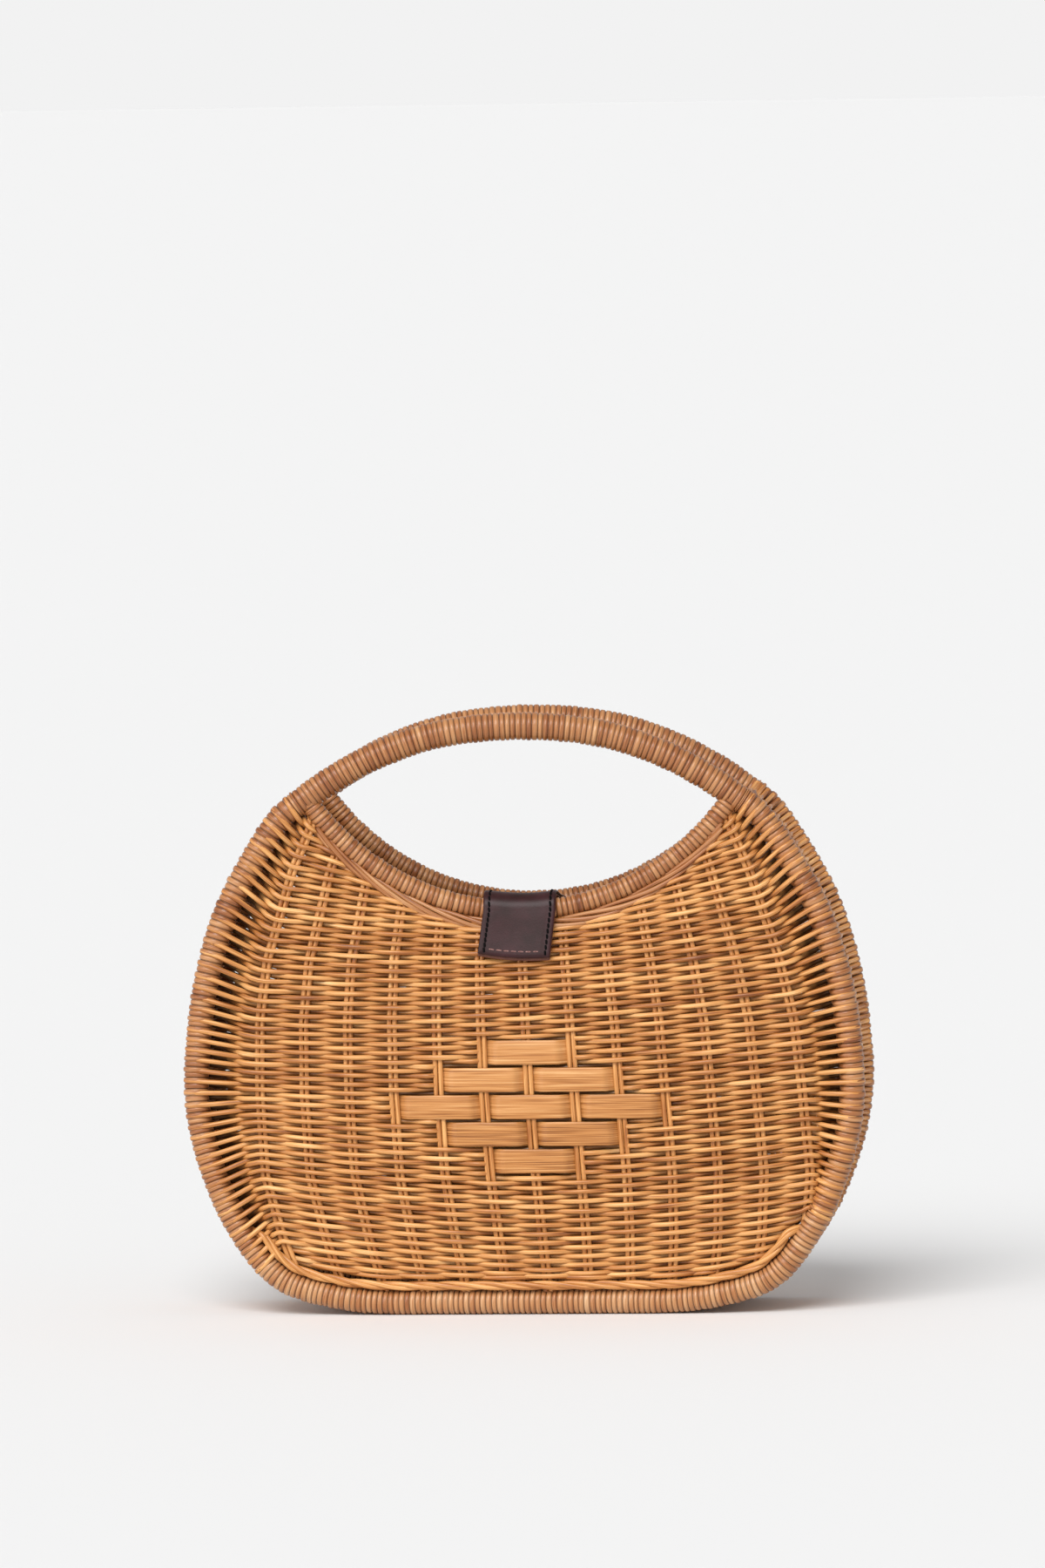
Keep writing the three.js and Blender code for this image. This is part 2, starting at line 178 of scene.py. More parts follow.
def catmull_rom(points, closed, steps):
    """Smooth centripetal line through points, with a number of steps from each to the next"""
    points = np.asarray(points, float)
    nearest = 1e-9
    if closed:
        padded = np.vstack([points[-1:], points, points[:2]])
    else:
        padded = np.vstack([2 * points[:1] - points[1:2], points, 2 * points[-1:] - points[-2:-1]])
    u = (np.arange(steps) / steps)[:, None]
    line = []
    for p0, p1, p2, p3 in zip(padded[:-3], padded[1:-2], padded[2:-1], padded[3:]):
        spans = (p1 - p0, p2 - p1, p3 - p2)
        d0, d1, d2 = [math.sqrt(max(np.linalg.norm(step), nearest)) for step in spans]
        m1 = ((p1 - p0) / d0 - (p2 - p0) / (d0 + d1) + (p2 - p1) / d1) * d1
        m2 = ((p2 - p1) / d1 - (p3 - p1) / (d1 + d2) + (p3 - p2) / d2) * d1
        square, cube = 3 * (p2 - p1) - 2 * m1 - m2, 2 * (p1 - p2) + m1 + m2
        line.append(p1 + m1 * u + square * u**2 + cube * u**3)
    if not closed:
        line.append(points[-1:])
    return np.vstack(line)


def distances(line):
    """Distance along a line at each of its points"""
    return np.concatenate([[0], np.cumsum(np.linalg.norm(np.diff(line, axis=0), axis=1))])


class FlatLine:
    """A line in a plane, by distance along it"""

    reach = 0.3 * MM

    def __init__(self, line):
        self.line = line
        self.run = distances(line)
        self.length = self.run[-1]

    def at(self, s):
        return np.stack([np.interp(s, self.run, self.line[:, i]) for i in (0, 1)], -1)

    def inward(self, s):
        """Direction square to the line, on its right"""
        along = unit(self.at(s + self.reach) - self.at(s - self.reach))
        return np.stack([along[..., 1], -along[..., 0]], -1)


class Ring(FlatLine):
    """Closed centre line of a hoop in its own plane, by distance clockwise from the handle's crown"""

    steps = 24
    reach = 1.5 * MM

    def __init__(self):
        half = [(row["out"] * HALF_WIDTH, RUN_Z + row["up"] * RISE) for row in HOOP_ROWS]
        mirrored = [(-x, z) for x, z in reversed(half)]
        points = [(0, RUN_Z + RISE)] + half + [(0, RUN_Z)] + mirrored
        line = catmull_rom(points, True, self.steps)
        line[:, 1] = np.maximum(line[:, 1], RUN_Z)
        super().__init__(np.vstack([line, line[:1]]))
        self.shoulder = self.run[(SHOULDER_ROW + 1) * self.steps]
        self.corner = self.run[(CORNER_ROW + 1) * self.steps]

    def at(self, s):
        return super().at(np.mod(s, self.length))


RING = Ring()
RIGHT = RING.line[: len(RING.line) // 2 + 1]
WIDEST = int(np.argmax(RIGHT[:, 0]))
SHOULDER_X, SHOULDER_Z = RIGHT[(SHOULDER_ROW + 1) * Ring.steps]
MOUTH_DROP = SHOULDER_Z - MOUTH_LOW
MOUTH_BEND = (SHOULDER_X**2 + MOUTH_DROP**2) / (2 * MOUTH_DROP)


def mouth_z(x):
    """Height of a mouth rod's centre line, an arc through both shoulders"""
    reach = np.minimum(np.abs(x), 0.98 * MOUTH_BEND)
    return MOUTH_LOW + MOUTH_BEND - np.sqrt(MOUTH_BEND**2 - reach**2)


def half_width(z):
    return np.interp(z, RIGHT[::-1, 1], RIGHT[::-1, 0])


def lower_edge(x):
    lower = RIGHT[WIDEST:][::-1]
    return np.interp(np.abs(x), lower[:, 0], lower[:, 1])


def upper_edge(x):
    upper = RIGHT[: WIDEST + 1]
    ring_z = np.interp(np.abs(x), upper[:, 0], upper[:, 1])
    return np.where(np.abs(x) <= SHOULDER_X, mouth_z(x), ring_z)


def bulge(x, z):
    """How far the middle of a panel's wall stands out of its hoop's plane"""
    across = x / np.maximum(half_width(z), MM)
    low, high = lower_edge(x), upper_edge(x)
    up = np.where(high - low > MM, 2 * (z - low) / np.maximum(high - low, MM) - 1, 1)
    roundness = 0.8
    return CROWN * np.maximum(0, 1 - across**2) ** roundness * np.maximum(0, 1 - up**2) ** roundness


def stake_x(share, z):
    """Place across the panel of a stake whose share of the fan goes from -1 to 1"""
    heights = column(STAKE_FAN, "height") * MM
    half = np.interp(z, heights, column(STAKE_FAN, "half") * MM)
    return share * half + np.interp(z, heights, column(STAKE_FAN, "middle") * MM)


def stake_share(stake):
    return 2 * stake / (STAKES - 1) - 1


def mouth_limit(x):
    """Highest line that a weaver's middle may reach under the mouth rod or the hoop"""
    return upper_edge(x) - np.where(np.abs(x) <= SHOULDER_X, ROD_RADIUS, HOOP_RADIUS) - 0.8 * MM


def border_limit(x):
    """Lowest line that a weaver's middle may reach above the border"""
    return lower_edge(x) + HOOP_RADIUS + 2 * WALE_RADIUS + 0.6 * MM


def soft_floor(value, blur):
    """value where it is well over 0, and gently towards 0 elsewhere"""
    return (value + np.sqrt(value**2 + 4 * blur**2)) / 2


# Meshes made of strands

class Bundle:
    """Many strands in one mesh. Each point keeps its strand's tone, its painted shade, which darkens
    its colour in crevices and deep in the weave, and its place along and round the strand, which
    the fibres of the material follow."""

    def __init__(self, seed):
        self.random = np.random.default_rng(seed)
        self.parts = []
        self.count = 0

    def add(self, points, faces, tone, shade, grain):
        n = len(points)
        faces = np.where(faces < 0, NO_CORNER, faces + self.count)
        self.parts.append((points, faces, np.broadcast_to(tone, n), np.broadcast_to(shade, n), grain))
        self.count += n

    def strand(self, line, out, radius, sides, tone=None, shade=1.0):
        """A closed tube along a line, turned so that its first side faces the direction out"""
        n = len(line)
        tangent = unit(np.gradient(line, axis=0))
        side = unit(np.cross(tangent, np.broadcast_to(out, line.shape)))
        angle = 2 * np.pi * (np.arange(sides) + 0.5) / sides
        rims = line[:, None] + radius * circles(angle, np.cross(side, tangent), side)
        tone = self.random.uniform(0, 1) if tone is None else tone
        along = distances(line)[:, None] + self.random.uniform(0, 9)
        grain = np.stack(np.broadcast_arrays(along, radius * np.cos(angle), radius * np.sin(angle)), -1)
        points = np.vstack([rims.reshape(-1, 3), line[0], line[-1]])
        # Painted shade of 0.5 at the middles of the end caps
        shade = np.append(np.repeat(np.broadcast_to(shade, n), sides), [0.5, 0.5])
        grain = np.vstack([grain.reshape(-1, 3), grain[0, 0], grain[-1, 0]])
        faces = np.vstack([tube_faces(n, sides, False), as_quads(cap_triangles(n, sides))])
        self.add(points, faces, tone, shade, grain)

    def wrapped(self, place, edges, tones, radius, lifts, sides, depth, closed):
        """A core wrapped turn by turn: edges are the distances between the turns, and place gives
        the centre line and its two square directions at a distance."""
        # seam is the painted shade given to the open end of a wrap
        slant, uneven, steep, seam = 0.5 * MM, 0.08 * MM, 0.97, 0.3
        turns = len(edges) - 1
        middle, half = (edges[1:] + edges[:-1]) / 2, np.diff(edges) / 2
        s = (middle[:, None] + half[:, None] * TURN_AT).ravel()
        size = radius(middle) + lifts + self.random.normal(0, uneven, turns)
        r = (size[:, None] - depth * (1 - np.sqrt(1 - (steep * TURN_AT) ** 2))).ravel()
        tone = np.repeat(tones[:, None], len(TURN_AT), 1)
        tone[1:, 0] = (tones[1:] + tones[:-1]) / 2
        tone, shade = tone.ravel(), np.tile(TURN_SHADE, turns)
        offset = np.repeat(tones * 7, len(TURN_AT))
        if not closed:
            ends = (edges[-1], r[-len(TURN_AT)], tones[-1], seam, offset[-1])
            values = (s, r, tone, shade, offset)
            s, r, tone, shade, offset = [np.append(*pair) for pair in zip(values, ends)]
        centre, normal, across = place(s)
        angle = 2 * np.pi * np.arange(sides) / sides
        lean = slant * np.sin(angle)[None, :, None] * np.cross(across, normal)[:, None]
        points = (centre[:, None] + r[:, None, None] * circles(angle, normal, across) + lean).reshape(-1, 3)
        n = len(s)
        around = np.abs(angle - np.pi) * np.mean(r) + offset[:, None]
        grain = np.stack(np.broadcast_arrays(around, s[:, None], 0.0), -1).reshape(-1, 3)
        faces = tube_faces(n, sides, closed)
        tone, shade = np.repeat(tone, sides), np.repeat(shade, sides)
        if not closed:
            points = np.vstack([points, centre[0], centre[-1]])
            faces = np.vstack([faces, as_quads(cap_triangles(n, sides)[:, ::-1])])
            grain = np.vstack([grain, grain[0], grain[-sides]])
            # Painted shade of 0.5 at the middles of the end caps
            tone, shade = np.append(tone, [0.5, 0.5]), np.append(shade, [0.5, 0.5])
        self.add(points, faces, tone, shade, grain)

    def build(self, name, material, slot, *nodes):
        """The mesh object, which rides on the bag and stands for the construction solids named"""
        points, faces, tone, shade, grain = [np.concatenate(each) for each in zip(*self.parts)]
        polygons = [face[:3] if face[3] == NO_CORNER else face for face in faces.tolist()]
        mesh = bpy.data.meshes.new(name)
        mesh.from_pydata(points.tolist(), [], polygons)
        for key, kind, field, values in (
                ("tone", "FLOAT", "value", tone), ("shade", "FLOAT", "value", shade),
                ("grain", "FLOAT_VECTOR", "vector", grain)):
            layer = mesh.attributes.new(key, kind, "POINT")
            layer.data.foreach_set(field, values.astype(np.float32).ravel())
        mesh.materials.append(material)
        mesh.polygons.foreach_set("use_smooth", [True] * len(mesh.polygons))
        mesh.update()
        piece = bpy.data.objects.new(name, mesh)
        bpy.context.scene.collection.objects.link(piece)
        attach(piece, BODY)
        if nodes:
            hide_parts(*nodes)


def circles(angle, up, side):
    """Points on a circle of radius 1 for each pair of square directions"""
    return np.cos(angle)[None, :, None] * up[:, None] + np.sin(angle)[None, :, None] * side[:, None]


def as_quads(triangles):
    """Triangles as rows of four corners, the last of which is none"""
    triangles = np.asarray(triangles, int)
    return np.hstack([triangles, np.full((len(triangles), 1), NO_CORNER)])


def tube_faces(n, sides, closed):
    """Faces between n rings of points"""
    rings = np.arange(n if closed else n - 1)[:, None]
    i = np.arange(sides)[None]
    after, beside = (rings + 1) % n, (i + 1) % sides
    corners = [rings * sides + i, rings * sides + beside, after * sides + beside, after * sides + i]
    return np.stack(corners, -1).reshape(-1, 4)


def cap_triangles(n, sides):
    """Triangles that close a tube's ends, from the two middles that follow its rings of points"""
    i = np.arange(sides)
    beside, last, middle = (i + 1) % sides, (n - 1) * sides, np.full(sides, n * sides)
    corners = [(middle, middle + 1), (i, last + beside), (beside, last + i)]
    return np.stack([np.append(*pair) for pair in corners], -1)


# Materials

def linear(colour):
    """An sRGB hex colour as linear red, green, blue and alpha"""
    parts = [int(colour[i:i + 2], 16) / 255 for i in (1, 3, 5)]
    return [p / 12.92 if p <= 0.04045 else ((p + 0.055) / 1.055) ** 2.4 for p in parts] + [1.0]


def add_node(tree, kind, inputs=None, **settings):
    """A node with its settings, its input values and the sockets that feed it"""
    node = tree.nodes.new(kind)
    for key, value in settings.items():
        setattr(node, key, value)
    for socket, value in (inputs or {}).items():
        if isinstance(value, bpy.types.NodeSocket):
            tree.links.new(value, node.inputs[socket])
        else:
            node.inputs[socket].default_value = value
    return node


def new_finish(name):
    """An empty material and its node tree"""
    material = bpy.data.materials.new(name)
    material.use_nodes = True
    material.node_tree.nodes.clear()
    return material, material.node_tree


def close_finish(material, inputs):
    """The material with its shader and its output"""
    shader = add_node(material.node_tree, "ShaderNodeBsdfPrincipled", inputs)
    add_node(material.node_tree, "ShaderNodeOutputMaterial", {"Surface": shader.outputs[0]})
    return material


def colour_ramp(tree, factor, stops):
    """The colour at a factor, between (place, hex colour) stops"""
    ramp = add_node(tree, "ShaderNodeValToRGB", {"Fac": factor})
    elements = ramp.color_ramp.elements
    while len(elements) < len(stops):
        elements.new(0.5)
    for element, (place, colour) in zip(elements, stops):
        element.position = place
        element.color = linear(colour)
    return ramp.outputs["Color"]


def from_mesh(tree, name, output="Fac"):
    """An attribute that each point of a mesh carries"""
    return add_node(tree, "ShaderNodeAttribute", attribute_name=name).outputs[output]


def noise(tree, place, scale, detail, roughness=0.5):
    inputs = {"Vector": place, "Scale": scale, "Detail": detail, "Roughness": roughness}
    return add_node(tree, "ShaderNodeTexNoise", inputs).outputs["Fac"]


def marks_along(tree, length, width, detail, roughness=0.5):
    """Noise drawn out along the strands, in marks about so long and wide"""
    scale = (1 / length, 1 / width, 1 / width)
    inputs = {0: from_mesh(tree, "grain", "Vector"), 1: scale}
    place = add_node(tree, "ShaderNodeVectorMath", inputs, operation="MULTIPLY").outputs[0]
    return noise(tree, place, 1.0, detail, roughness)


def marks_on(tree, size, detail):
    """Noise on a piece, in marks of about one size"""
    place = add_node(tree, "ShaderNodeTexCoord").outputs["Object"]
    return noise(tree, place, 1 / size, detail)


def times_plus(tree, value, factor, more):
    inputs = {0: value, 1: factor, 2: more}
    return add_node(tree, "ShaderNodeMath", inputs, operation="MULTIPLY_ADD").outputs[0]


def relief(tree, height, strength, distance):
    inputs = {"Strength": strength, "Distance": distance, "Height": height}
    return add_node(tree, "ShaderNodeBump", inputs).outputs[0]


def peeled_rattan(name, stops, roughness, painted_shade_colour):
    """Peeled round rattan core, oiled: long fine fibres, a low waxy sheen, and each strand of its
    own tone, so that the weave reads as many single reeds. Painted shade: where a point's shade is
    low, its colour is mixed towards a dark painted shade colour."""
    material, tree = new_finish(name)
    fibres = marks_along(tree, 16 * MM, 0.35 * MM, 2.0)
    blotches = marks_along(tree, 22 * MM, 4 * MM, 1.0)
    own = times_plus(tree, from_mesh(tree, "tone"), 0.2, -0.32)
    streaked = times_plus(tree, fibres, 0.8, own)
    colour = colour_ramp(tree, times_plus(tree, blotches, 0.6, streaked), stops)
    # Painted shade: the colour is mixed towards the painted shade colour as the shade attribute falls
    inputs = {0: from_mesh(tree, "shade"), 6: linear(painted_shade_colour), 7: colour}
    shaded = add_node(tree, "ShaderNodeMix", inputs, data_type="RGBA").outputs[2]
    return close_finish(material, {
        "Base Color": shaded, "Roughness": roughness, "IOR": REED_IOR,
        "Normal": relief(tree, fibres, 0.35, 0.12 * MM)})


def split_cane():
    """Flat split cane, shaved: straight grain along each strip in dark and pale lines, a little
    duller than the round reed."""
    material, tree = new_finish("split_cane")
    fine = marks_along(tree, 45 * MM, 0.35 * MM, 3.0, 0.6)
    bands = marks_along(tree, 30 * MM, 1.6 * MM, 1.0)
    own = times_plus(tree, from_mesh(tree, "tone"), 0.12, -0.3)
    lines = times_plus(tree, fine, 1.1, own)
    return close_finish(material, {
        "Base Color": colour_ramp(tree, times_plus(tree, bands, 0.5, lines), STRIP_STOPS),
        "Roughness": 0.42, "IOR": REED_IOR, "Normal": relief(tree, fine, 0.6, 0.1 * MM)})


def tanned_leather(name, dark, light, roughness, pore, ior):
    """Vegetable-tanned leather, dyed and waxed: fine pores, soft mottling and a waxed sheen where
    the surface bends."""
    material, tree = new_finish(name)
    mottle = marks_on(tree, 9 * MM, 3.0)
    place = add_node(tree, "ShaderNodeTexCoord").outputs["Object"]
    pores = add_node(tree, "ShaderNodeTexVoronoi", {"Vector": place, "Scale": 1 / pore}).outputs["Distance"]
    return close_finish(material, {
        "Base Color": colour_ramp(tree, mottle, ((0.3, dark), (0.7, light))),
        "Roughness": roughness, "IOR": ior, "Normal": relief(tree, pores, 0.25, 0.08 * MM)})


def waxed_thread(name, dark, light):
    """Waxed polyester thread, twisted: a dull line that hardly shines"""
    material, tree = new_finish(name)
    colour = colour_ramp(tree, marks_on(tree, 0.6 * MM, 1.0), ((0.3, dark), (0.7, light)))
    return close_finish(material, {"Base Color": colour, "Roughness": 0.8, "Specular IOR Level": 0.1})


def nickel_plate():
    """Nickel-plated steel, barrelled: a soft grey metal with fine rubbed marks"""
    material, tree = new_finish("nickel_plate")
    marks = marks_on(tree, 0.8 * MM, 2.0)
    colour = colour_ramp(tree, marks, ((0.3, "#8d8a84"), (0.7, "#b3afa8")))
    rough = add_node(tree, "ShaderNodeMapRange", {"Value": marks, "To Min": 0.25, "To Max": 0.45})
    return close_finish(material, {"Base Color": colour, "Metallic": 1.0, "Roughness": rough.outputs[0]})


def matt_paper(colour):
    """Matt white paper sweep: an even pale ground with no shine"""
    material, _ = new_finish("matt_paper")
    return close_finish(material, {
        "Base Color": list(colour) + [1.0], "Roughness": 0.9, "Specular IOR Level": 0.1})


REED_IOR = 1.48
WOVEN_STOPS = ((0.16, "#6e3a18"), (0.34, "#a8672f"), (0.52, "#c98c4e"), (0.7, "#dfa868"), (0.88, "#efc890"))
WRAP_STOPS = ((0.16, "#603015"), (0.34, "#90552c"), (0.52, "#ab7346"), (0.7, "#be8b5d"), (0.88, "#d0a981"))
STRIP_STOPS = ((0.3, "#6b3a14"), (0.44, "#9c622c"), (0.56, "#b87b40"), (0.7, "#c98f55"), (0.85, "#dcae77"))
FINISHES = {}


def finish(name):
    """A finish by name, made once"""
    makers = {
        # The last colour of each reed finish is its painted shade colour, which shaded points are mixed
        # towards
        "woven_reed": lambda: peeled_rattan("peeled_round_reed", WOVEN_STOPS, 0.36, "#1c0b03"),
        "wrapped_cane": lambda: peeled_rattan("wrapped_round_reed", WRAP_STOPS, 0.36, "#1c0b04"),
        "flat_cane": split_cane,
        "dark_leather": lambda: tanned_leather("waxed_leather", "#27100f", "#391b1e", 0.42, 0.7 * MM, 1.33),
        "raw_leather": lambda: tanned_leather("raw_leather", "#4f2c22", "#75493a", 0.65, 0.5 * MM, 1.4),
        "black_thread": lambda: waxed_thread("black_waxed_thread", "#040303", "#0d090a"),
        "rose_thread": lambda: waxed_thread("rose_waxed_thread", "#6d4b47", "#9a7670"),
        "nickel": nickel_plate,
    }
    if name not in FINISHES:
        FINISHES[name] = makers[name]()
    return FINISHES[name]


# Property groups

def length_property(name, description, size):
    return bpy.props.FloatProperty(name=name, description=description, default=size, unit="LENGTH")


def strength_property(name, description, value):
    return bpy.props.FloatProperty(name=name, description=description, default=value)


class WickerSizes(bpy.types.PropertyGroup):
    reed_radius: length_property("Weaver radius", "Radius of the round reed of the weave", 1.14 * MM)
    stake_radius: length_property("Stake radius", "Radius of each reed of a pair of stakes", 1.1 * MM)
    weave_depth: length_property("Weave depth", "How far a weaver swings beside the stakes", 1.8 * MM)
    wrap_pitch: length_property("Wrap pitch", "From one turn of the wrapping to the next", 2.4 * MM)
    wrap_depth: length_property("Wrap depth", "Depth of the groove between two turns", 1.0 * MM)


class StrapSizes(bpy.types.PropertyGroup):
    width: length_property("Width", "Width of the strap", 31.6 * MM)
    leather: length_property("Leather", "Thickness of one layer", 1.35 * MM)
    flap_length: length_property("Flap length", "From the rod's top down the front", 27 * MM)
    stitch_pitch: length_property("Stitch pitch", "From one stitch to the next", 2.3 * MM)


class StudioSettings(bpy.types.PropertyGroup):
    paper: bpy.props.FloatVectorProperty(
        name="Paper", description="Colour of the floor", default=(0.83, 0.83, 0.83), subtype="COLOR")
    ground: strength_property("Horizon", "Strength of the light from near the horizon", 0.888)
    sky: strength_property("Sky light", "Strength of the light from above", 0.45)
    key: strength_property("Key light", "Strength of the wide key light", 2.6)
    fill: strength_property("Fill light", "Strength of the low fill light", 1.0)


# Strand paths

def strip_places():
    """Each flat strip's number, first and last stake and height"""
    for number, strip in enumerate(STRIP_ROWS, 1):
        first = (STAKES - 1 - strip["gaps"]) // 2
        yield number, first, first + strip["gaps"], ORNAMENT_Z + strip["row"] * STRIP_PITCH


def behind_strips(x, z, out):
    """Weavers go behind the flat strips"""
    margin, deep = 0.75 * MM, 2.6 * MM
    hidden = np.zeros(len(x))
    for _, first, last, height in strip_places():
        left = stake_x(stake_share(first), height)
        right = stake_x(stake_share(last), height)
        inside = (np.abs(z - height) < STRIP_HEIGHT / 2 + margin) & (x > left - MM) & (x < right + MM)
        hidden = np.maximum(hidden, inside)
    soft = np.convolve(np.pad(hidden, 1, mode="edge"), [0.25, 0.5, 0.25], mode="valid")
    return (1 - soft) * out + soft * (bulge(x, z) - deep)


def row_path(side, row, level, sizes, random, steps):
    """A weaver's middle line across the stakes: its places across, up and outwards, and where it
    runs free of the mouth rod and the border. It passes in front of and behind the stakes in turn."""
    uneven, level_at, mouth_blur, border_blur, crossed = 0.12 * MM, 0.4, 3.2 * MM, 1.6 * MM, 3 * MM
    t = np.linspace(0, STAKES - 1, (STAKES - 1) * steps + 1)
    share = stake_share(t)
    heights = column(ROW_RUN, "height") * MM
    sag = np.interp(level, heights, column(ROW_RUN, "sag")) * MM
    rise = np.interp(level, heights, column(ROW_RUN, "rise")) * MM
    wobble = np.interp(t, np.arange(STAKES), random.normal(0, uneven, STAKES))
    free = level + sag * (share**2 - level_at) + rise * share + wobble
    z = free
    for _ in range(3):
        x = stake_x(share, z)
        under, over = mouth_limit(x), border_limit(x)
        z = under - soft_floor(under - free, mouth_blur)
        z = over + soft_floor(z - over, border_blur)
    out = bulge(x, z) + sizes.weave_depth * np.cos(np.pi * (t + row))
    if side < 0:
        out = behind_strips(x, z, out)
    return x, z, out, (under - free > -crossed) & (over - free < crossed)


def nearest_on_flank(x, z):
    """Distance along the hoop's right half of its place nearest to one on the panel's flank"""
    s = np.linspace(RING.shoulder - 6 * MM, RING.corner + 22 * MM, 1000)
    return s[np.argmin(np.linalg.norm(RING.at(s) - (abs(x), z), axis=1))]


def hoop_reach(start, slope, s, depth):
    """The end of a weaver from its last stake to a hoop, over it or behind it by a depth"""
    leaves, arrives, lifts_from, lifts_for = 0.7, 0.5, 0.22, 0.5
    ring, inward = RING.at(s), RING.inward(s)
    begin = start[:2]
    gap = np.linalg.norm(ring - begin)
    straight = (ring - begin) / gap
    u = np.linspace(0, 1, 8)[1:]
    flat = (np.outer(1 - smooth(u), begin) + np.outer(u**3 - 2 * u**2 + u, leaves * gap * slope)
            + np.outer(smooth(u), ring) + np.outer(u**3 - u**2, arrives * gap * (straight - inward)))
    late = smooth(np.clip((u - lifts_from) / lifts_for, 0, 1))
    over = np.radians([18, 36, 54, 72] if depth > 0 else [10])
    turned = ring - np.outer(abs(depth) * np.sin(over), inward)
    return np.vstack([flat, turned]), np.append(start[2] + (depth - start[2]) * late, depth * np.cos(over))


def end_weaver(flat, depth, end, over, behind):
    """A weaver with its end: over a hoop or behind it where it meets one, and tucked in elsewhere"""
    if end is None:
        return flat, np.append(depth[:-len(TUCK)], depth[-len(TUCK):] - TUCK)
    s, _, front = end
    start = np.append(flat[-1], depth[-1])
    more, deep = hoop_reach(start, unit(flat[-1] - flat[-2]), s, over if front else behind)
    return np.vstack([flat, more]), np.append(depth, deep)


def panel_ends(paths, tones):
    """Where a panel's weavers meet the hoop on the left (-1) and the right (1): for each row its
    distance along the hoop, its tone and whether it passes over the front"""
    evened, rise = 0.15, 5 * MM
    ends = {}
    for flank, index in ((-1, 0), (1, -1)):
        near = {row: nearest_on_flank(path[0][index], path[1][index]) for row, path in enumerate(paths)}
        first, last = RING.shoulder + MM, RING.corner + 20 * MM
        rows = [row for row, s in near.items() if paths[row][3][index] and first < s < last]
        near = np.array([near[row] for row in rows])
        even = np.linspace(near[0], near[-1], len(near))
        share = (near - near[0]) / (near[-1] - near[0])
        places = (1 - evened) * near + evened * even - rise * share**2 * (1 - share**6)
        places = places if flank > 0 else RING.length - places
        ends[flank] = {row: (s, tones[row], row % 2 == 1) for row, s in zip(rows, places)}
    return ends


def weave_panel(bundle, side, sizes, steps):
    """All weavers of one panel. Gives where they meet the hoop on the left and the right."""
    levels = np.linspace(*ROW_LEVELS, ROWS) * MM
    paths = [row_path(side, row, level, sizes, bundle.random, steps) for row, level in enumerate(levels)]
    tones = bundle.random.uniform(0, 1, ROWS)
    ends = panel_ends(paths, tones)
    over = HOOP_RADIUS - 0.7 * sizes.reed_radius
    behind, fullness = (-over, 1) if side < 0 else (-0.02 * over, 1.2)
    shortest = 5
    for row, (x, z, out, free) in enumerate(paths):
        radius = sizes.reed_radius * (1 + bundle.random.normal(0, REED_VARIES)) * fullness
        for stretch in np.split(np.arange(len(x)), np.nonzero(np.diff(free.astype(int)))[0] + 1):
            if not free[stretch[0]] or len(stretch) < shortest:
                continue
            flat, depth = np.stack([x[stretch], z[stretch]], -1), out[stretch]
            for flank, meets in ((-1, stretch[0] == 0), (1, stretch[-1] == len(x) - 1)):
                end = ends[flank].get(row) if meets else None
                flat, depth = end_weaver(flat[::flank], depth[::flank], end, over, behind)
                flat, depth = flat[::flank], depth[::flank]
            line = beside_hoop(side, flat[:, 0], flat[:, 1], depth)
            # Painted shade: the deeper a weaver lies behind the panel's middle, the darker its colour
            deep = depth - np.maximum(bulge(flat[:, 0], flat[:, 1]), 0)
            shade = np.interp(deep, SHADE_DEPTHS, SHADES)
            bundle.strand(line, (0, 0, 1), radius, 6, tones[row], shade)
    return {flank: sorted(meets.values()) for flank, meets in ends.items()}


def between(middles):
    """Edges of turns whose middles are given"""
    inner = (middles[1:] + middles[:-1]) / 2
    return np.concatenate([[2 * middles[0] - inner[0]], inner, [2 * middles[-1] - inner[-1]]])


def turn_edges(first, last, sizes, random):
    """Edges of the turns of a wrap between two distances, a little uneven as by hand"""
    turns = round((last - first) / sizes.wrap_pitch)
    edges = np.linspace(first, last, turns + 1)
    edges[1:-1] += random.normal(0, TURN_VARIES * sizes.wrap_pitch, turns - 1)
    return edges


def hoop_turns(ends, sizes, random):
    """Turns that wrap a hoop: one for each weaver on its flanks, and even ones on the handle and
    the bottom run. Gives their edges, their tones and how far each stands out."""
    lift = 0.35 * MM
    right, left = np.array(ends[1], float), np.array(ends[-1], float)
    right_edges, left_edges = between(right[:, 0]), between(left[:, 0])
    full_turn = right_edges[0] + RING.length
    foot = turn_edges(right_edges[-1], left_edges[0], sizes, random)
    handle = turn_edges(left_edges[-1], full_turn, sizes, random)
    edges = np.concatenate([right_edges, foot[1:-1], left_edges, handle[1:-1], [full_turn]])
    # Painted light: the turns of the bottom run get lighter tones than the handle's, for a brighter foot
    painted_light_foot_tones = random.uniform(0.6, 1.5, len(foot) - 1)
    handle_tones = random.uniform(0, 1, len(handle) - 1)
    tones = np.concatenate([right[:, 1], painted_light_foot_tones, left[:, 1], handle_tones])
    lifts = lift * np.concatenate([right[:, 2], 0 * painted_light_foot_tones, left[:, 2], 0 * handle_tones])
    return edges, tones, lifts


def beside_hoop(side, x, z, out):
    """A line so far outwards from the plane of a hoop"""
    return np.stack([x, side * (HOOP_Y + out), z], -1)


def in_space(side, flat, normal):
    """A line and its two square directions in space, from those in the plane of a hoop"""
    zero = np.zeros(len(flat))
    centre = np.stack([flat[:, 0], zero + side * HOOP_Y, flat[:, 1]], -1)
    return centre, np.stack([normal[:, 0], zero, normal[:, 1]], -1), np.stack([zero, zero + 1, zero], -1)


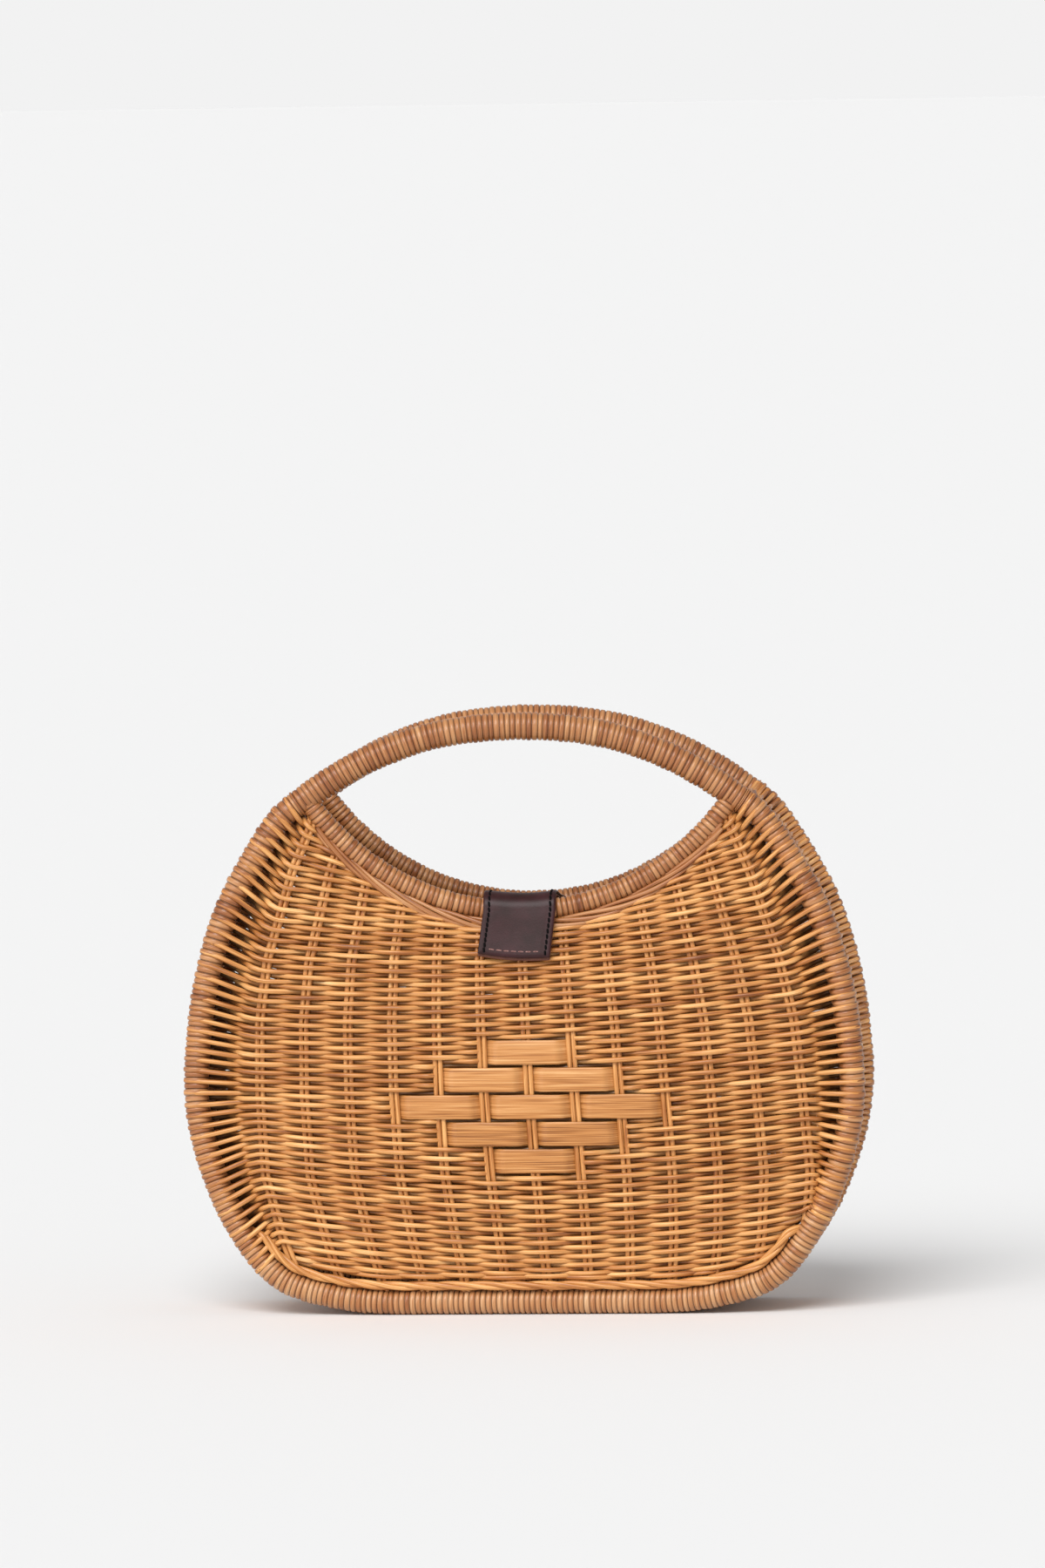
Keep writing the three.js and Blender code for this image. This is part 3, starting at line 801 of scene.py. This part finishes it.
def ring_place(side):
    """Centre line of a hoop and its two square directions, by distance"""
    return lambda s: in_space(side, RING.at(s), RING.inward(s))


def rod_place(side, rod):
    """Centre line of a mouth rod and its two square directions, by distance"""
    def place(s):
        flat = rod.at(s)
        slope = flat[:, 0] / np.sqrt(MOUTH_BEND**2 - flat[:, 0]**2)
        return in_space(side, flat, unit(np.stack([slope, -np.ones(len(slope))], -1)))
    return place


def ring_radius(s):
    """Radius of the wrapping, thicker on the handle"""
    blend_length = 16 * MM
    from_crown = np.mod(s, RING.length)
    beyond = RING.shoulder - np.minimum(from_crown, RING.length - from_crown)
    blend = np.clip(beyond / blend_length + 0.5, 0, 1)
    return HOOP_RADIUS + (HANDLE_RADIUS - HOOP_RADIUS) * blend


PANEL_ENDS = {}


def both_sides(seed, piece, slot, node=None):
    """A bundle to fill for the front and one for the back, each built when it is full"""
    for name, side in (("front", -1), ("back", 1)):
        bundle = Bundle(seed)
        yield name, side, bundle
        bundle.build(f"{name}_{piece}", finish(slot), slot, *([f"{name}_{node}"] if node else []))
        seed += 1


# Operators

class WICKER_OT_weave_panels(bpy.types.Operator):
    """Weave the weavers of the front and back panels"""
    bl_idname = "wicker.weave_panels"
    bl_label = "Weave panels"

    steps = {"front": 8, "back": 6}  # points of a weaver from one pair of stakes to the next

    def execute(self, context):
        sizes = context.scene.wicker_sizes
        for name, side, bundle in both_sides(11, "weavers", "woven_reed", "panel"):
            PANEL_ENDS[name] = weave_panel(bundle, side, sizes, self.steps[name])
        return {"FINISHED"}


class WICKER_OT_stand_stakes(bpy.types.Operator):
    """Stand the pairs of stakes in both panels"""
    bl_idname = "wicker.stand_stakes"
    bl_label = "Stand stakes"

    heights = (9 * MM, 222 * MM)
    below_mouth = 4 * MM
    above_foot = 3 * MM

    def execute(self, context):
        sizes = context.scene.wicker_sizes
        for _, side, bundle in both_sides(21, "stakes", "woven_reed"):
            for share in stake_share(np.arange(STAKES)):
                for half in (-1, 1):
                    z = np.linspace(*self.heights, 90)
                    x = stake_x(share, z) + half * PAIR_APART * sizes.stake_radius
                    inside = (z < upper_edge(x) - self.below_mouth) & (z > lower_edge(x) + self.above_foot)
                    x, z = x[inside], z[inside]
                    line = beside_hoop(side, x, z, bulge(x, z))
                    bundle.strand(line, (0, side, 0), sizes.stake_radius, 8, bundle.random.uniform(0, 0.8))
        return {"FINISHED"}


class WICKER_OT_wrap_hoops(bpy.types.Operator):
    """Wrap the two hoops turn by turn"""
    bl_idname = "wicker.wrap_hoops"
    bl_label = "Wrap hoops"

    def execute(self, context):
        sizes = context.scene.wicker_sizes
        for name, side, bundle in both_sides(31, "hoop_wraps", "wrapped_cane", "hoop"):
            edges, tones, lifts = hoop_turns(PANEL_ENDS[name], sizes, bundle.random)
            bundle.wrapped(ring_place(side), edges, tones, ring_radius, lifts, 20, sizes.wrap_depth, True)
        return {"FINISHED"}


class WICKER_OT_wrap_mouth_rods(bpy.types.Operator):
    """Wrap the two mouth rods turn by turn"""
    bl_idname = "wicker.wrap_mouth_rods"
    bl_label = "Wrap mouth rods"

    inset = 2 * MM

    def execute(self, context):
        sizes = context.scene.wicker_sizes
        x = np.linspace(-SHOULDER_X, SHOULDER_X, 241)
        rod = FlatLine(np.stack([x, mouth_z(x)], -1))
        for _, side, bundle in both_sides(41, "rod_wraps", "wrapped_cane", "mouth_rod"):
            edges = turn_edges(self.inset, rod.length - self.inset, sizes, bundle.random)
            turns = len(edges) - 1
            tones = bundle.random.uniform(0, 1, turns)
            bundle.wrapped(rod_place(side, rod), edges, tones, lambda s: np.full(len(s), ROD_RADIUS),
                           np.zeros(turns), 18, sizes.wrap_depth, False)
            self.underlay(bundle, side, sizes)
        return {"FINISHED"}

    def underlay(self, bundle, side, sizes):
        """Long strands twisted along the underside of a mouth rod"""
        lay, below, high, deep = 70 * MM, 2.1 * MM, 1.9 * MM, 1.6 * MM
        x = np.linspace(-SHOULDER_X + 5 * MM, SHOULDER_X - 5 * MM, 160)
        for start in (0, 1.3, 2.6, 3.9, 5.2):
            turn = x * 2 * np.pi / lay + start
            z = mouth_z(x) - ROD_RADIUS - below - high * np.sin(turn)
            out = bulge(x, z) + 0.6 * MM + deep * np.cos(turn)
            line = beside_hoop(side, x, z, out)
            bundle.strand(line, (0, side, 0), 0.9 * sizes.reed_radius, 7)


def band_bundle(places, seed, sizes):
    """Strands across the band between the hoops, over and under two pairs of stakes"""
    bundle = Bundle(seed)
    stakes_at, beside_at, ends_at = 9 * MM, 20 * MM, HOOP_Y - 2 * MM
    beside_lift, end_lift = 0.8 * MM, 4.4 * MM
    y = np.linspace(-ends_at, ends_at, 25)
    knots = (-ends_at, -beside_at, -stakes_at, stakes_at, beside_at, ends_at)
    for number, s in enumerate(places):
        swing = sizes.weave_depth * (1 if number % 2 else -1)
        lifts = (end_lift, beside_lift, swing, -swing, beside_lift, end_lift)
        fine = catmull_rom(np.stack([knots, lifts], -1), False, 8)
        lift = np.interp(y, fine[:, 0], fine[:, 1])
        at, inward = RING.at(s), RING.inward(s)
        line = np.stack([at[0] - inward[0] * lift, y, at[1] - inward[1] * lift], -1)
        tangent = np.array([-inward[1], 0, inward[0]])
        radius = sizes.reed_radius * (1 + bundle.random.normal(0, REED_VARIES))
        bundle.strand(line, tangent, radius, 6)
    s = np.linspace(places[0], places[-1], max(24, len(places)))
    at, inward = RING.at(s), RING.inward(s)
    out = np.stack([inward[:, 0], 0 * s, inward[:, 1]], -1)
    for y_at in (-stakes_at, stakes_at):
        for half in (-1, 1):
            y_line = np.full(len(s), y_at + half * PAIR_APART * sizes.stake_radius)
            bundle.strand(np.stack([at[:, 0], y_line, at[:, 1]], -1), out, sizes.stake_radius, 8)
    return bundle


class WICKER_OT_weave_sides(bpy.types.Operator):
    """Weave the side bands and the base between the two hoops"""
    bl_idname = "wicker.weave_sides"
    bl_label = "Weave sides and base"

    def execute(self, context):
        sizes = context.scene.wicker_sizes
        for name, flank, seed in (("left_side", -1, 51), ("right_side", 1, 52)):
            places = np.array([s for s, _, _ in PANEL_ENDS["front"][flank]])
            bundle = band_bundle(places, seed, sizes)
            self.roll_edge(bundle, places[0] if flank > 0 else places[-1], flank, sizes)
            bundle.build(f"{name}_weave", finish("woven_reed"), "woven_reed", name)
        first, last = PANEL_ENDS["front"][1][-1][0], PANEL_ENDS["front"][-1][0][0]
        places = np.linspace(first, last, round((last - first) / sizes.wrap_pitch) + 1)[1:-1]
        band_bundle(places, 53, sizes).build("base_weave", finish("woven_reed"), "woven_reed", "base")
        return {"FINISHED"}

    def roll_edge(self, bundle, s, flank, sizes):
        """Two strands twisted along the top edge of a side band"""
        y = np.linspace(-HOOP_Y + 5 * MM, HOOP_Y - 5 * MM, 40)
        at, inward = RING.at(s), RING.inward(s)
        along = np.array([-inward[1], inward[0]]) * flank
        lay, twist, beyond = 14 * MM, 1.1 * MM, 1.6 * MM
        for start in (0, np.pi):
            turn = y * 2 * np.pi / lay + start
            lift, ahead = twist * np.cos(turn), beyond + twist * np.sin(turn)
            x, z = [at[i] - inward[i] * lift + along[i] * ahead for i in (0, 1)]
            line = np.stack([x, y, z], -1)
            bundle.strand(line, (0, 0.1, 1), 1.2 * sizes.reed_radius, 7)


class WICKER_OT_twist_borders(bpy.types.Operator):
    """Twist the border strands along the foot of each panel"""
    bl_idname = "wicker.twist_borders"
    bl_label = "Twist borders"

    def execute(self, context):
        sizes = context.scene.wicker_sizes
        s = np.linspace(RING.corner, RING.length - RING.corner, 220)
        at, inward = RING.at(s), RING.inward(s)
        lay, high, deep, end_length = 40 * MM, 0.95 * MM, 1.1 * MM, 9 * MM
        end = np.clip(1 - np.minimum(s - s[0], s[-1] - s) / end_length, 0, 1) ** 2
        inset = HOOP_RADIUS + WALE_RADIUS - 6 * MM * end
        x, z = (at + inward * inset[:, None]).T
        for _, side, bundle in both_sides(61, "border", "woven_reed", "wale"):
            for start in (0, 2 * np.pi / 3, 4 * np.pi / 3):
                turn = s * 2 * np.pi / lay + start
                up = high * np.sin(turn)
                out = bulge(x, z) + PANEL_WALL / 2 + 0.5 * MM + deep * np.cos(turn) - 5 * MM * end
                line = beside_hoop(side, x + inward[:, 0] * up, z + inward[:, 1] * up, out)
                bundle.strand(line, (0, side, 0), 1.05 * sizes.reed_radius, 7)
        return {"FINISHED"}


class WICKER_OT_lay_strips(bpy.types.Operator):
    """Lay the flat cane strips of the diamond over and under the stakes"""
    bl_idname = "wicker.lay_strips"
    bl_label = "Lay flat strips"

    thickness = 0.9 * MM
    dip = -1.3 * MM
    rise = 3.0 * MM
    past = 0.1  # how far a strip reaches past a stake before it rises, in gaps between stakes
    climb = 0.22
    uneven = 0.12 * MM

    def execute(self, context):
        for number, first, last, height in strip_places():
            bundle = Bundle(70 + number)
            self.strip(bundle, first, last, height)
            bundle.build(f"flat_cane_{number}", finish("flat_cane"), "flat_cane", f"flat_strip_{number}")
        return {"FINISHED"}

    def strip(self, bundle, first, last, height):
        """One strip: it dips behind the first stake, every second one after it and the last"""
        t = np.linspace(first - self.past, last + self.past, (last - first) * 14)
        x = stake_x(stake_share(t), height)
        nearest = 2 * np.round((t - first) / 2) + first
        away = np.abs(t - nearest)
        out = self.dip + self.rise * smooth(np.clip((away - self.past) / self.climb, 0, 1))
        rows = np.array([-1, -0.97, -0.85, -0.4, 0, 0.4, 0.85, 0.97, 1])
        edge = np.array([0.0, 0.7, 1, 1, 1, 1, 1, 0.7, 0.0])
        wave = bundle.random.normal(0, self.uneven, len(t))
        wave = np.convolve(np.pad(wave, 3, mode="edge"), np.ones(7) / 7, mode="valid")
        half = STRIP_HEIGHT / 2 - 0.1 * MM
        section = list(zip(rows, edge)) + list(zip(rows[-2:0:-1], -edge[-2:0:-1]))
        rings, grain = [], []
        for row, level in section:
            z = height + row * half + wave * row
            y = -(HOOP_Y + bulge(x, z) + out + level * self.thickness / 2)
            rings.append(np.stack([x, y, z], -1))
            grain.append(np.stack([x, z, np.full(len(x), height)], -1))
        points = np.stack(rings, 1).reshape(-1, 3)
        n, sides = len(t), len(section)
        faces = tube_faces(n, sides, False)[:, ::-1]
        fans = []
        for base, order in ((0, 1), ((n - 1) * sides, -1)):
            ring = [base + i for i in range(sides)][::order]
            fans += [[ring[0], ring[i], ring[i + 1]] for i in range(1, sides - 1)]
        faces = np.vstack([faces, as_quads(fans)])
        bundle.add(points, faces, bundle.random.uniform(0, 1), 1.0, np.stack(grain, 1).reshape(-1, 3))


class StrapShape(FlatLine):
    """Middle line of the strap in the plane x = 0, and how it settles over the rod"""

    seam = 0.3 * MM
    clearance = 0.3 * MM
    skew = math.radians(7)
    slope = math.radians(5)
    tail = 24 * MM
    slack = ((0.02, -0.56), (0.16, 0), (0.58, 0.5), (0.94, 0.98))  # shares of the mouth and the rod's turn

    def __init__(self, strap):
        half = strap.leather + self.seam / 2
        turn = ROD_RADIUS + self.clearance + half
        wall = PANEL_WALL / 2
        self.flap_length = strap.flap_length
        tail_top = MOUTH_LOW - ROD_RADIUS - 3 * MM
        flap_end = MOUTH_LOW + turn - strap.flap_length
        middle = (MOUTH_LOW + flap_end) / 2

        def tail_y(z):
            return HOOP_Y + float(bulge(0, z)) - wall - 3 * self.clearance - half

        def flap_y(z):
            return -HOOP_Y - float(bulge(0, z)) - wall - 2 * self.clearance - 1 * MM - half

        points = [(tail_y(tail_top - down), tail_top - down) for down in (self.tail, self.tail / 2)]
        points.append((tail_y(tail_top) - 3 * MM, tail_top))
        face = HOOP_Y - turn
        points += [(face - across * (face + HOOP_Y), MOUTH_LOW + rise * turn) for across, rise in self.slack]
        for degrees in (90, 120, 150, 180):
            angle = math.radians(degrees)
            points.append((-HOOP_Y + turn * math.cos(angle), MOUTH_LOW + turn * math.sin(angle)))
        points.append((min(flap_y(middle), -HOOP_Y - turn), middle))
        points.append((flap_y(flap_end), flap_end))
        super().__init__(catmull_rom(points, False, 16))

    def settle(self, points):
        """Bends points with the rod's sag and hangs the flap askew"""
        x, y, z = points.T.copy()
        hang = np.where(y < -HOOP_Y, np.maximum(0, MOUTH_LOW - z), 0)
        z = z + mouth_z(x) - MOUTH_LOW - math.tan(self.slope) * x * hang / self.flap_length
        return np.stack([x - math.tan(self.skew) * hang, y, z], -1)


class WICKER_OT_sew_strap(bpy.types.Operator):
    """Sew the two leather layers of the closing strap, with their stitches"""
    bl_idname = "wicker.sew_strap"
    bl_label = "Sew strap"

    edge_inset = 2.4 * MM
    last_step = 0.4 * MM
    dent_depth, dent_width = 0.22 * MM, 0.5 * MM
    wave_depth, wave_length = 0.18 * MM, 17 * MM

    def execute(self, context):
        strap = context.scene.wicker_strap
        shape = StrapShape(strap)
        half = strap.leather + shape.seam / 2
        for low, high, longer, name, slot, node, seed in (
                (shape.seam / 2, half, 0, "strap_top", "dark_leather", "strap_outer", 81),
                (-half, -shape.seam / 2, 0.9 * MM, "strap_lining", "raw_leather", "strap_backing", 82)):
            bundle = Bundle(seed)
            self.layer(bundle, shape, strap, low, high, longer)
            bundle.build(name, finish(slot), slot, node)
        self.stitches(shape, strap, half)
        return {"FINISHED"}

    def layer(self, bundle, shape, strap, low, high, longer):
        """One layer with rounded edges, pressed in along its stitches"""
        s = np.linspace(0, shape.length + longer, 110)
        s[-1] = s[-2] + self.last_step
        width = strap.width / 2
        across = np.concatenate([[-1, -0.985, -0.95], np.linspace(-0.9, 0.9, 25), [0.95, 0.985, 1]])
        edge = np.interp(np.abs(across), [0, 0.94, 0.975, 1], [1, 1, 0.85, 0.35])
        middle, thick = (low + high) / 2, (high - low) / 2
        beyond = np.maximum(s - shape.length, 0)
        point = shape.at(np.minimum(s, shape.length)) - np.stack([0 * beyond, beyond], -1)
        normal = shape.inward(np.minimum(s, shape.length))
        tip = np.ones(len(s))
        tip[[0, -1]], tip[[1, -2]] = 0.35, 0.85
        from_seam = np.abs(across) * width - (width - self.edge_inset)
        dent = self.dent_depth * np.exp(-((from_seam / self.dent_width) ** 2))
        wave = self.wave_depth * np.sin(across[None] * 2.6 + 0.6) * np.sin(s[:, None] / self.wave_length)
        rings = []
        for sign in (1, -1):
            cols = np.arange(len(across))[::sign][:-1]
            thickness = thick * np.minimum(edge[cols][None], tip[:, None])
            press = dent[cols][None] if sign * (high + low) > 0 else 0
            offset = middle + sign * thickness - sign * press + wave[:, cols]
            x = np.broadcast_to(across[cols][None] * width, offset.shape)
            y, z = [point[:, i:i + 1] + normal[:, i:i + 1] * offset for i in (0, 1)]
            rings.append(np.stack([x, y, z], -1))
        ring = np.concatenate(rings, 1)
        n, sides = ring.shape[:2]
        points = shape.settle(ring.reshape(-1, 3))
        ends = []
        for base, order in ((0, 1), ((n - 1) * sides, -1)):
            for i in range(sides // 2):
                corners = dict.fromkeys((i, i + 1, sides - i - 1, (sides - i) % sides))
                face = [base + corner for corner in corners][::order]
                ends.append(face + [NO_CORNER] * (4 - len(face)))
        faces = np.vstack([tube_faces(n, sides, False)[:, ::-1], np.array(ends)])
        bundle.add(points, faces, 0.5, 1.0, points)

    def stitches(self, shape, strap, half):
        """Black thread along both sides of the strap and a rose one across the flap's end"""
        width = strap.width / 2 - self.edge_inset
        pitch = strap.stitch_pitch
        foot = shape.length - 3.4 * MM
        sides = Bundle(83)
        for s in np.arange(8 * MM, shape.length - 3.2 * MM, pitch):
            for x in (-width, width):
                self.stitch(sides, shape, half, (x, x + 0.3 * MM), (s, s + 0.72 * pitch), 0.5 * MM)
        sides.build("strap_stitches", finish("black_thread"), "dark_leather")
        end = Bundle(84)
        for x in np.arange(-width + pitch, width - pitch, 1.4 * pitch):
            self.stitch(end, shape, half, (x, x + 0.9 * pitch), (foot, foot), 0.34 * MM)
        end.build("flap_stitches", finish("rose_thread"), "dark_leather")

    def stitch(self, bundle, shape, half, across, along, radius):
        """One stitch, bowed out of the leather"""
        u = np.linspace(0, 1, 5)
        s = along[0] + (along[1] - along[0]) * u
        normal = shape.inward(s)
        bow = half + 0.3 * MM * np.sin(np.pi * u) - 0.2 * MM
        y, z = (shape.at(s) + normal * bow[:, None]).T
        line = shape.settle(np.stack([across[0] + (across[1] - across[0]) * u, y, z], -1))
        bundle.strand(line, np.stack([0 * u, normal[:, 0], normal[:, 1]], -1), radius, 6, 0.5)


class WICKER_OT_plate_snap(bpy.types.Operator):
    """Give the hidden snap its plated finish"""
    bl_idname = "wicker.plate_snap"
    bl_label = "Plate snap"

    def execute(self, context):
        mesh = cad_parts["snap"].data
        mesh.materials.clear()
        mesh.materials.append(finish("nickel"))
        return {"FINISHED"}


def direction(right, up):
    """Towards a place so many degrees to the right of the front and up"""
    right, up = math.radians(right), math.radians(up)
    return Vector((math.sin(right) * math.cos(up), -math.cos(right) * math.cos(up), math.sin(up)))


class WICKER_OT_set_stage(bpy.types.Operator):
    """Set the paper floor, the soft light and the camera"""
    bl_idname = "wicker.set_stage"
    bl_label = "Set stage"

    def execute(self, context):
        studio = context.scene.wicker_studio
        self.floor(studio)
        self.lights(studio)
        self.camera()
        context.scene.view_settings.view_transform = "Standard"
        return {"FINISHED"}

    def link(self, name, data):
        thing = bpy.data.objects.new(name, data)
        bpy.context.scene.collection.objects.link(thing)
        return thing

    def floor(self, studio):
        """Paper out to where it meets the sky evenly"""
        reach = 300.0
        mesh = bpy.data.meshes.new("paper_floor")
        corners = [(-reach, -reach, 0), (reach, -reach, 0), (reach, reach, 0), (-reach, reach, 0)]
        mesh.from_pydata(corners, [], [(0, 1, 2, 3)])
        mesh.materials.append(matt_paper(studio.paper))
        self.link("paper_floor", mesh)

    def lights(self, studio):
        """A white tent, as bright as the floor near the horizon and dimmer above, and two wide lamps"""
        world = bpy.data.worlds.new("studio")
        world.use_nodes = True
        tree = world.node_tree
        place = add_node(tree, "ShaderNodeTexCoord").outputs["Generated"]
        height = add_node(tree, "ShaderNodeSeparateXYZ", {0: place}).outputs["Z"]
        fade = {"Value": height, "From Min": 0.1, "From Max": 0.4,
                "To Min": studio.ground, "To Max": studio.sky}
        glow = add_node(tree, "ShaderNodeMapRange", fade, interpolation_type="SMOOTHSTEP")
        background = tree.nodes["Background"]
        background.inputs["Color"].default_value = (1, 1, 1, 1)
        tree.links.new(glow.outputs[0], background.inputs["Strength"])
        bpy.context.scene.world = world
        self.lamp("key_light", studio.key, 35, (-10, 42))
        self.lamp("fill_light", studio.fill, 45, (-50, 12))

    def lamp(self, name, energy, width, place):
        """A far lamp, so many degrees wide and to the right of the front and up"""
        light = bpy.data.lights.new(name, "SUN")
        light.angle = math.radians(width)
        light.energy = energy
        lamp = self.link(name, light)
        lamp.rotation_mode = "QUATERNION"
        lamp.rotation_quaternion = (-direction(*place)).to_track_quat("-Z", "Y")

    def camera(self):
        """The photograph's view, a little from the bag's right and from above"""
        back = direction(5.4, 3.5)
        roll = math.radians(0.85)
        away = 5.0
        tall = 1800  # pixels
        scale = 2.63 / MM  # pixels in a metre of the bag
        aim = Vector((1.5 * MM, -HOOP_Y, 232.4 * MM))
        lens = bpy.data.cameras.new("camera")
        lens.sensor_fit = "VERTICAL"
        lens.sensor_height = lens.sensor_width = 36.0
        lens.lens = lens.sensor_height * away / (tall / scale)
        lens.clip_end = 500
        camera = self.link("camera", lens)
        turn = (-back).to_track_quat("-Z", "Y").to_matrix().to_4x4()
        camera.matrix_world = Matrix.Translation(aim + back * away) @ turn @ Matrix.Rotation(-roll, 4, "Z")
        bpy.context.scene.camera = camera


class WICKER_PT_panel(bpy.types.Panel):
    """The bag's sizes and the steps that make it"""
    bl_idname = "WICKER_PT_panel"
    bl_label = "Wicker bag"
    bl_space_type = "VIEW_3D"
    bl_region_type = "UI"
    bl_category = "Wicker bag"

    def draw(self, context):
        for group in (context.scene.wicker_sizes, context.scene.wicker_strap, context.scene.wicker_studio):
            box = self.layout.box()
            for name in group.__annotations__:
                box.prop(group, name)
        for step in STEPS:
            self.layout.operator(step.bl_idname)


STEPS = (
    WICKER_OT_set_stage,
    WICKER_OT_weave_panels,
    WICKER_OT_stand_stakes,
    WICKER_OT_wrap_hoops,
    WICKER_OT_wrap_mouth_rods,
    WICKER_OT_weave_sides,
    WICKER_OT_twist_borders,
    WICKER_OT_lay_strips,
    WICKER_OT_sew_strap,
    WICKER_OT_plate_snap,
)
GROUPS = (
    ("wicker_sizes", WickerSizes),
    ("wicker_strap", StrapSizes),
    ("wicker_studio", StudioSettings),
)


def register():
    for name, group in GROUPS:
        bpy.utils.register_class(group)
        setattr(bpy.types.Scene, name, bpy.props.PointerProperty(type=group))
    for step in STEPS:
        bpy.utils.register_class(step)
    bpy.utils.register_class(WICKER_PT_panel)


def unregister():
    bpy.utils.unregister_class(WICKER_PT_panel)
    for step in reversed(STEPS):
        bpy.utils.unregister_class(step)
    for name, group in reversed(GROUPS):
        delattr(bpy.types.Scene, name)
        bpy.utils.unregister_class(group)


def main():
    register()
    for step in STEPS:
        group, action = step.bl_idname.split(".")
        getattr(getattr(bpy.ops, group), action)()


if __name__ == "__main__":
    main()
